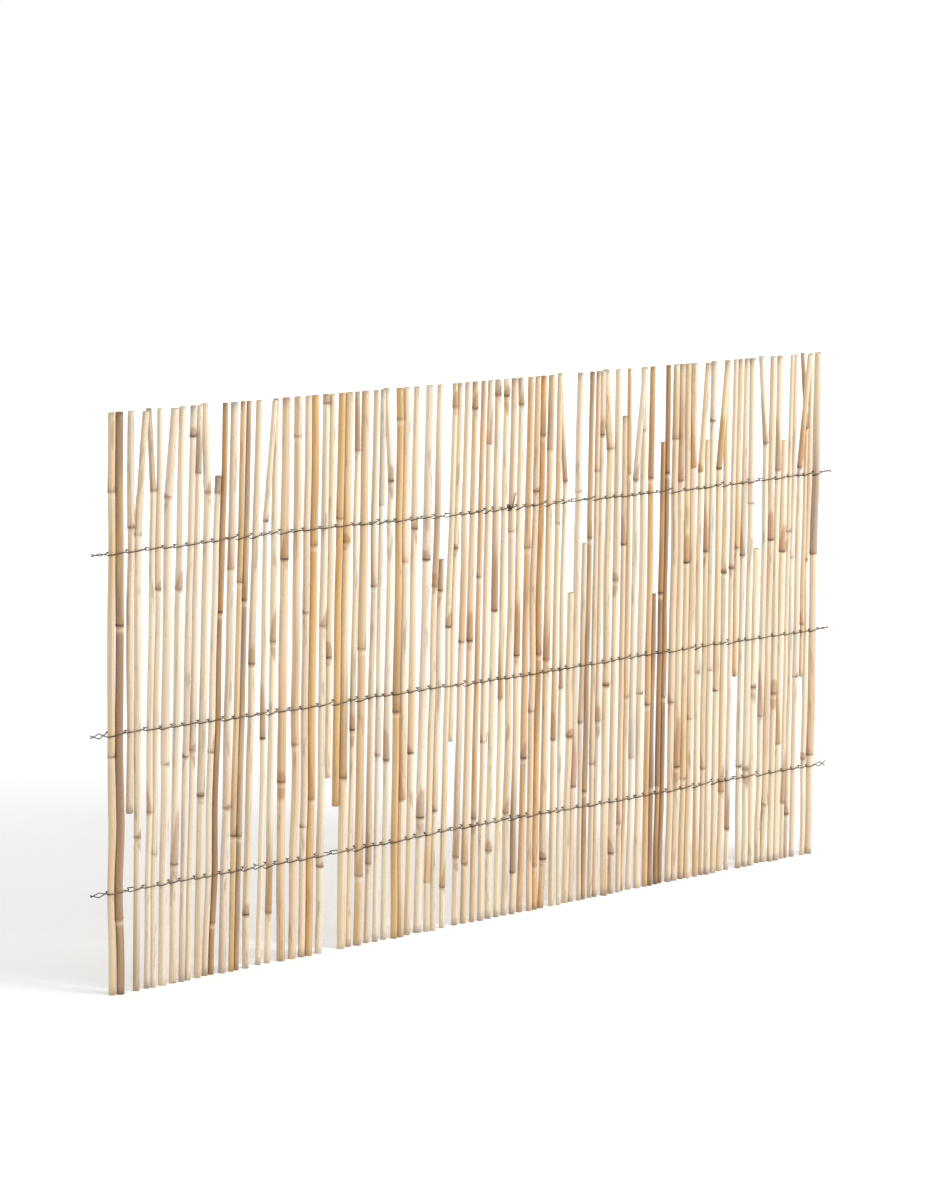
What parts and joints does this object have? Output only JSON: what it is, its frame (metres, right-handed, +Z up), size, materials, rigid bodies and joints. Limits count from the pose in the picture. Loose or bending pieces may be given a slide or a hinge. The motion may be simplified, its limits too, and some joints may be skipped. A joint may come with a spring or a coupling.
{
  "type": "cane screening",
  "caption": "Cut length of cane screening: upright natural canes with knuckles and open gaps, bound in level rows of twisted galvanised wire, to be tied to a fence or balcony.",
  "frame": {"origin": "on the ground under the middle of the screen, at the cut foot of the canes", "axes": "+X along the screen, +Y from its front to its back, where the fence stands, +Z up along the canes"},
  "size_m": [0.7346, 0.0161, 0.45],
  "materials": {
    "cane": "dry natural cane, satin skin, pale straw to tan",
    "binding_wire": "galvanised, dull and weathered"
  },
  "bodies": {
    "root": {"canes_01": "cane", "canes_02": "cane", "canes_03": "cane", "canes_04": "cane", "canes_05": "cane", "canes_06": "cane", "canes_07": "cane", "canes_08": "cane", "canes_09": "cane", "canes_10": "cane", "canes_11": "cane", "canes_12": "cane", "canes_13": "cane", "canes_14": "cane", "canes_15": "cane", "canes_16": "cane", "canes_17": "cane", "canes_18": "cane", "canes_19": "cane", "canes_20": "cane", "canes_21": "cane", "canes_22": "cane", "canes_23": "cane", "canes_24": "cane", "canes_25": "cane", "canes_26": "cane", "canes_27": "cane", "canes_28": "cane", "canes_29": "cane", "canes_30": "cane", "canes_31": "cane", "canes_32": "cane", "canes_33": "cane", "canes_34": "cane", "canes_35": "cane", "canes_36": "cane", "canes_37": "cane", "canes_38": "cane", "canes_39": "cane", "canes_40": "cane", "canes_41": "cane", "canes_42": "cane", "canes_43": "cane", "canes_44": "cane", "canes_45": "cane", "canes_46": "cane", "canes_47": "cane", "lower_strand_a": "binding_wire", "lower_strand_b": "binding_wire", "middle_strand_a": "binding_wire", "middle_strand_b": "binding_wire", "upper_strand_a": "binding_wire", "upper_strand_b": "binding_wire"}
  },
  "joints": []
}
